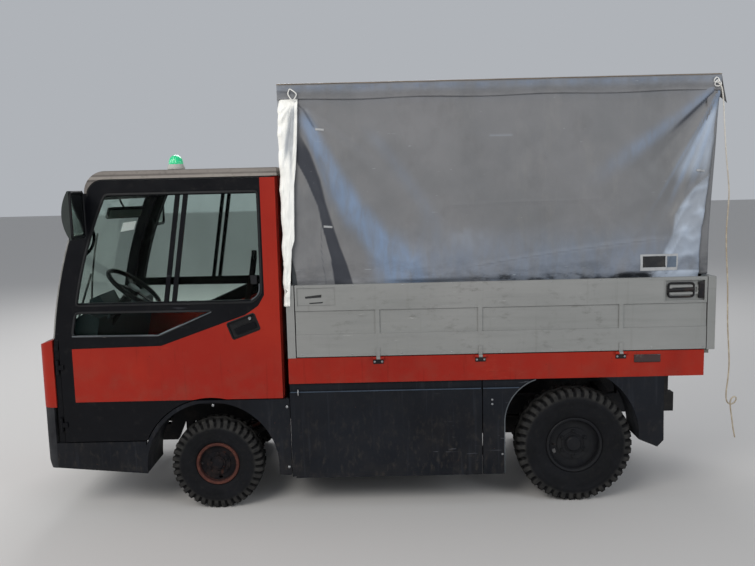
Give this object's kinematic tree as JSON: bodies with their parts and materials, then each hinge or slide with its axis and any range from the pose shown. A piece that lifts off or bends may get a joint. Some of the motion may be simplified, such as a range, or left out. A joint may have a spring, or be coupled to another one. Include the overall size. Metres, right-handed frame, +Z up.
{
  "type": "airport baggage tug",
  "caption": "Battery platform tug with a closed cab, drop-side load bed under a canvas canopy, steered front wheels, hinged doors and tailgate, and a rear tow coupling.",
  "frame": {"origin": "on the floor, under the middle of the vehicle's length and width", "axes": "+X forward along the vehicle, +Y to the driver's left, +Z up"},
  "size_m": [3.9638, 1.77, 2.442],
  "materials": {
    "red_paint": "faded gloss paint, dusty",
    "black_paint": "semi-matt paint, dusty",
    "roof_paint": "matt weathered paint",
    "black_plastic": "matt moulded plastic",
    "grey_plastic": "matt moulded plastic",
    "clear_glass": "lightly tinted glass",
    "aluminium": "dull anodised profile",
    "chassis_paint": "matt chassis paint, dusty",
    "cast_parts": "bare and painted castings, dusty",
    "tyre_rubber": "worn rubber, dusty",
    "rust_paint": "rusty red-brown paint",
    "rim_paint": "matt paint",
    "vinyl": "matt vinyl",
    "canvas": "coated cloth, dirty at the hem",
    "rope_fibre": "frayed grey-white fibre",
    "lamp_clear": "clear lens over a bright reflector",
    "lamp_red": "red lens",
    "beacon_green": "green lens",
    "zinc_tube": "zinc-coated tube",
    "deck_plate": "scuffed plate",
    "battery_case": "matt steel tray"
  },
  "bodies": {
    "vehicle": {"chassis": "chassis_paint", "battery": "battery_case", "drive_motor": "cast_parts", "front_axle": "cast_parts", "rear_axle": "cast_parts", "cab_floor": "chassis_paint", "cab_frame": "black_paint", "cab_rear_wall": "red_paint", "cab_roof": "roof_paint", "windscreen": "clear_glass", "front_panel": "red_paint", "front_bumper": "black_plastic", "headlamps": "lamp_clear", "beacon": "beacon_green", "dashboard": "grey_plastic", "steering_column": "black_plastic", "seat_base": "chassis_paint", "seat_left": "vinyl", "seat_right": "vinyl", "grab_handles": "black_plastic", "arch_panel_left": "black_paint", "arch_panel_right": "black_paint", "skirt_left": "black_paint", "skirt_right": "black_paint", "mudguard_left": "black_paint", "mudguard_right": "black_paint", "bed_frame": "red_paint", "bed_floor": "deck_plate", "corner_posts": "aluminium", "headboard": "aluminium", "tail_lamps": "lamp_red", "tow_coupling": "cast_parts", "canopy_frame": "zinc_tube", "cover_roof": "canvas", "cover_sides": "canvas", "cover_ends": "canvas", "rope": "rope_fibre"},
    "knuckle_left": {"knuckle_left": "cast_parts"},
    "knuckle_right": {"knuckle_right": "cast_parts"},
    "tie_rod": {"tie_rod": "cast_parts"},
    "front_wheel_left": {"front_tyre_left": "tyre_rubber", "front_rim_left": "rust_paint"},
    "front_wheel_right": {"front_tyre_right": "tyre_rubber", "front_rim_right": "rust_paint"},
    "rear_wheel_left": {"rear_tyre_left": "tyre_rubber", "rear_rim_left": "rim_paint"},
    "rear_wheel_right": {"rear_tyre_right": "tyre_rubber", "rear_rim_right": "rim_paint"},
    "steering_wheel": {"steering_wheel": "black_plastic"},
    "door_left": {"door_panel_left": "red_paint", "door_frame_left": "black_paint", "door_glass_left": "clear_glass", "mirror_left": "black_plastic"},
    "door_right": {"door_panel_right": "red_paint", "door_frame_right": "black_paint", "door_glass_right": "clear_glass", "mirror_right": "black_plastic"},
    "dropside_left": {"dropside_left": "aluminium"},
    "dropside_right": {"dropside_right": "aluminium"},
    "tailgate": {"tailgate": "aluminium"}
  },
  "joints": [
    {"name": "steer_left", "type": "hinge", "parent": "vehicle", "child": "knuckle_left", "pos_m": [0.947, 0.43, 0.27], "axis": [0, 0, 1], "range_deg": [-35, 35]},
    {"name": "steer_right", "type": "hinge", "parent": "vehicle", "child": "knuckle_right", "pos_m": [0.947, -0.43, 0.27], "axis": [0, 0, 1], "range_deg": [-35, 35]},
    {"name": "tie_rod_pivot", "type": "hinge", "parent": "knuckle_left", "child": "tie_rod", "pos_m": [0.827, 0.43, 0.21], "axis": [0, 0, 1], "range_deg": [-35, 35]},
    {"name": "steering_wheel_turn", "type": "hinge", "parent": "vehicle", "child": "steering_wheel", "pos_m": [1.48, 0.28, 1.285], "axis": [-0.6157, 0, 0.788], "range_deg": [-490, 490]},
    {"name": "front_spin_left", "type": "hinge", "parent": "knuckle_left", "child": "front_wheel_left", "pos_m": [0.947, 0.54, 0.27], "axis": [0, 1, 0], "continuous": true},
    {"name": "front_spin_right", "type": "hinge", "parent": "knuckle_right", "child": "front_wheel_right", "pos_m": [0.947, -0.54, 0.27], "axis": [0, 1, 0], "continuous": true},
    {"name": "rear_spin_left", "type": "hinge", "parent": "vehicle", "child": "rear_wheel_left", "pos_m": [-1.151, 0.526, 0.338], "axis": [0, 1, 0], "continuous": true},
    {"name": "rear_spin_right", "type": "hinge", "parent": "vehicle", "child": "rear_wheel_right", "pos_m": [-1.151, -0.526, 0.338], "axis": [0, 1, 0], "continuous": true},
    {"name": "door_left_hinge", "type": "hinge", "parent": "vehicle", "child": "door_left", "pos_m": [1.828, 0.652, 0.7], "axis": [0, 0, -1], "range_deg": [0, 75]},
    {"name": "door_right_hinge", "type": "hinge", "parent": "vehicle", "child": "door_right", "pos_m": [1.828, -0.652, 0.7], "axis": [0, 0, 1], "range_deg": [0, 75]},
    {"name": "dropside_left_hinge", "type": "hinge", "parent": "vehicle", "child": "dropside_left", "pos_m": [-0.7145, 0.659, 0.896], "axis": [-1, 0, 0], "range_deg": [0, 175]},
    {"name": "dropside_right_hinge", "type": "hinge", "parent": "vehicle", "child": "dropside_right", "pos_m": [-0.7145, -0.659, 0.896], "axis": [1, 0, 0], "range_deg": [0, 175]},
    {"name": "tailgate_hinge", "type": "hinge", "parent": "vehicle", "child": "tailgate", "pos_m": [-1.932, 0, 0.896], "axis": [0, -1, 0], "range_deg": [0, 175]}
  ],
  "couplings": [
    {"joint": "steer_right", "follows": "steer_left", "ratio": 1},
    {"joint": "tie_rod_pivot", "follows": "steer_left", "ratio": -1},
    {"joint": "steering_wheel_turn", "follows": "steer_left", "ratio": 14}
  ]
}
